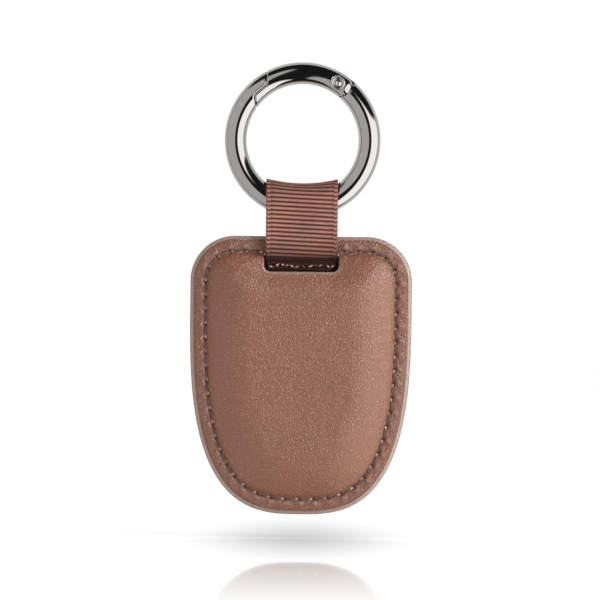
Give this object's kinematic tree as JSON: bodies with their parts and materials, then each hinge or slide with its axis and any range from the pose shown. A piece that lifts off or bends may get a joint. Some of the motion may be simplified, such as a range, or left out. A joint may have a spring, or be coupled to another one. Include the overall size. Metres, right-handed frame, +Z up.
{
  "type": "key holder",
  "caption": "Padded leather key fob hung by a woven ribbon loop from a round metal ring with a spring gate that opens inwards.",
  "frame": {"origin": "centre of the ring's opening, where the part hangs from a hook or a key", "axes": "+Z up along the hanging part, -Y towards the viewer of the padded front, +X to the viewer's right"},
  "size_m": [0.0494, 0.0083, 0.1009],
  "materials": {
    "gunmetal": "polished black-nickel plate",
    "spring_steel": "bright spring wire",
    "ribbon": "ribbed grosgrain weave",
    "thread": "twisted sewing thread",
    "leather": "semi-matt fine grain",
    "foam": "soft open-cell foam",
    "board": "pressed fibre board"
  },
  "bodies": {
    "ring": {"ring_body": "gunmetal", "hinge_rivet": "gunmetal"},
    "gate": {"gate": "gunmetal", "gate_spring": "spring_steel"},
    "ribbon": {"ribbon_loop": "ribbon", "ribbon_seam_thread": "thread"},
    "fob": {"front_panel": "leather", "foam_pad": "foam", "core_board": "board", "back_panel": "leather", "needle_thread": "thread", "bobbin_thread": "thread"}
  },
  "joints": [
    {"name": "gate_open", "type": "hinge", "parent": "ring", "child": "gate", "pos_m": [0.00779, 0, 0.01276], "axis": [0, -1, 0], "range_deg": [0, 35], "stiffness_Nm_per_rad": 0.02, "springref_deg": -68.75, "deforming": ["gate_spring"]},
    {"name": "ribbon_slide", "type": "hinge", "parent": "ring", "child": "ribbon", "pos_m": [0, 0, 0], "axis": [0, -1, 0], "range_deg": [-60, 90]},
    {"name": "fob_swing", "type": "hinge", "parent": "ribbon", "child": "fob", "pos_m": [0, 0, -0.0235], "axis": [1, 0, 0], "range_deg": [-120, 120]}
  ]
}
